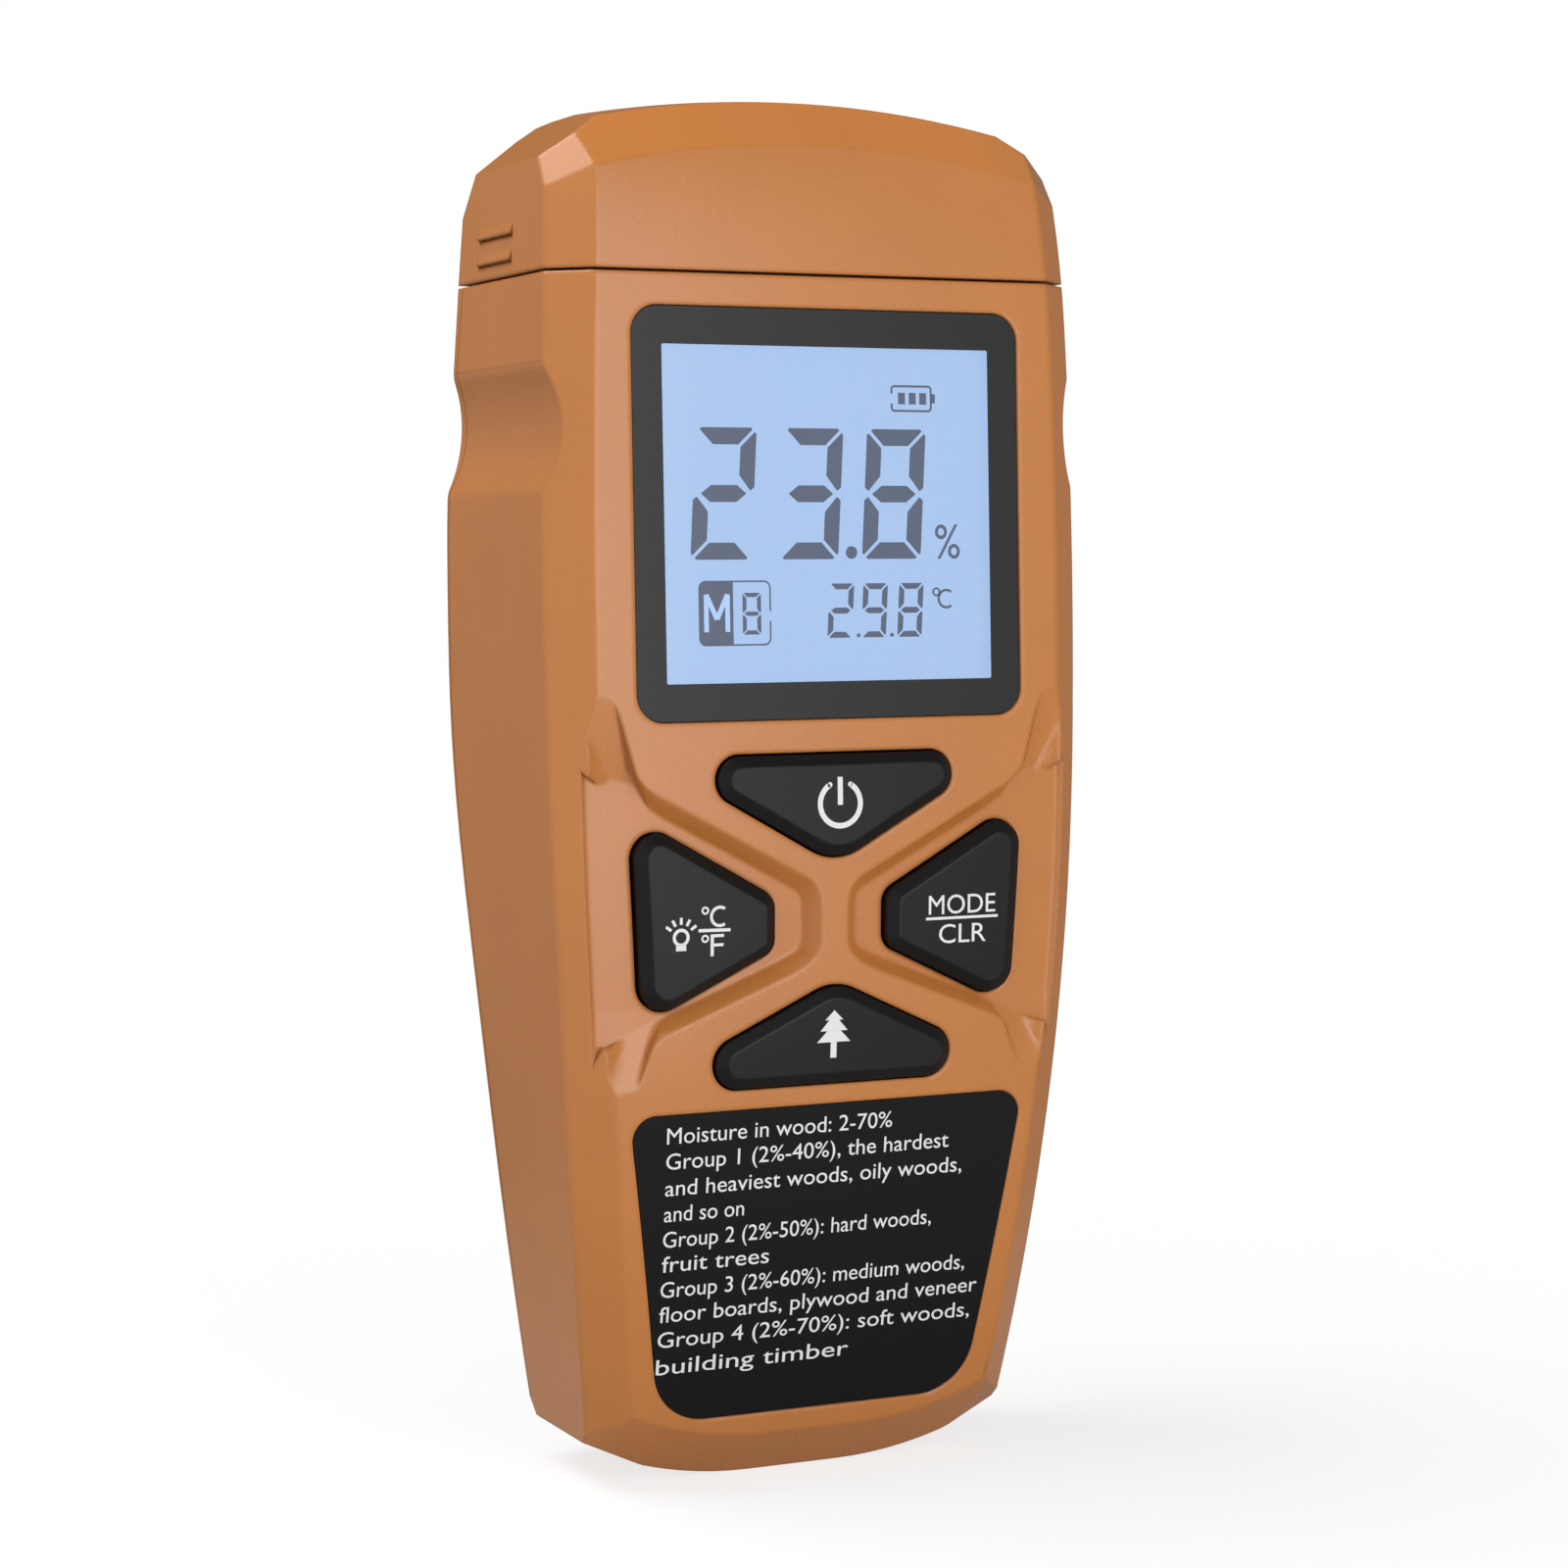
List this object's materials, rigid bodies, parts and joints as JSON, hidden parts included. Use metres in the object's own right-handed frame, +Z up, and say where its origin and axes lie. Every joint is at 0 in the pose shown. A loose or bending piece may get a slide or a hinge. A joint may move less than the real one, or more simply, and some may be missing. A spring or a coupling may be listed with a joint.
{
  "type": "moisture meter",
  "caption": "Pocket pin-type wood moisture meter with pull-off pin cap, backlit display, press buttons and a battery door at the back.",
  "frame": {"origin": "middle of the base that the meter stands on, with the depth centred", "axes": "+Z up along the meter towards the pins, the display faces -Y, +X to the right as seen from the front"},
  "size_m": [0.059, 0.0352, 0.1409],
  "materials": {
    "case": "fine satin moulded texture",
    "lens": "clear polished sheet",
    "mask": "black print",
    "lcd": "back-lit display glass",
    "light_guide": "frosted",
    "white_plastic": "moulded",
    "rubber_dark": "dull",
    "button": "soft-touch",
    "label": "printed film",
    "board": "solder mask",
    "black_plastic": "moulded",
    "brass": "turned",
    "steel": "polished",
    "red_wire": "insulation",
    "black_wire": "insulation",
    "cell": "plain sleeve"
  },
  "bodies": {
    "case": {"front_case": "case", "rear_case": "case", "display_lens": "lens", "display_mask": "mask", "lcd_panel": "lcd", "backlight_plate": "light_guide", "backlight_lamp": "white_plastic", "contact_strip": "rubber_dark", "display_frame": "white_plastic", "information_label": "label", "circuit_board": "board", "main_chip": "black_plastic", "board_parts": "black_plastic", "tact_switches": "black_plastic", "buzzer": "black_plastic", "temperature_sensor": "black_plastic", "pin_block": "black_plastic", "pin_sockets": "brass", "pin_nuts": "steel", "left_pin": "steel", "right_pin": "steel", "left_pin_lead": "red_wire", "right_pin_lead": "black_wire", "battery_cells": "cell", "battery_springs": "steel", "battery_plates": "steel", "left_battery_lead": "red_wire", "right_battery_lead": "black_wire", "case_screws": "steel", "board_screws": "steel"},
    "cap": {"pin_cap": "case"},
    "door": {"battery_door": "case"},
    "power_button_body": {"power_button": "button"},
    "species_button_body": {"species_button": "button"},
    "light_unit_button_body": {"light_unit_button": "button"},
    "mode_button_body": {"mode_button": "button"}
  },
  "joints": [
    {"name": "cap_pull", "type": "slide", "parent": "case", "child": "cap", "axis": [0, 0, 1], "range_m": [0, 0.04]},
    {"name": "door_swing", "type": "hinge", "parent": "case", "child": "door", "pos_m": [0, 0.0104, 0.0128], "axis": [-1, 0, 0], "range_deg": [0, 75]},
    {"name": "power_press", "type": "slide", "parent": "case", "child": "power_button_body", "axis": [0, 1, 0], "range_m": [0, 0.0005], "stiffness_N_per_m": 2500},
    {"name": "species_press", "type": "slide", "parent": "case", "child": "species_button_body", "axis": [0, 1, 0], "range_m": [0, 0.0005], "stiffness_N_per_m": 2500},
    {"name": "light_unit_press", "type": "slide", "parent": "case", "child": "light_unit_button_body", "axis": [0, 1, 0], "range_m": [0, 0.0005], "stiffness_N_per_m": 2500},
    {"name": "mode_press", "type": "slide", "parent": "case", "child": "mode_button_body", "axis": [0, 1, 0], "range_m": [0, 0.0005], "stiffness_N_per_m": 2500}
  ]
}
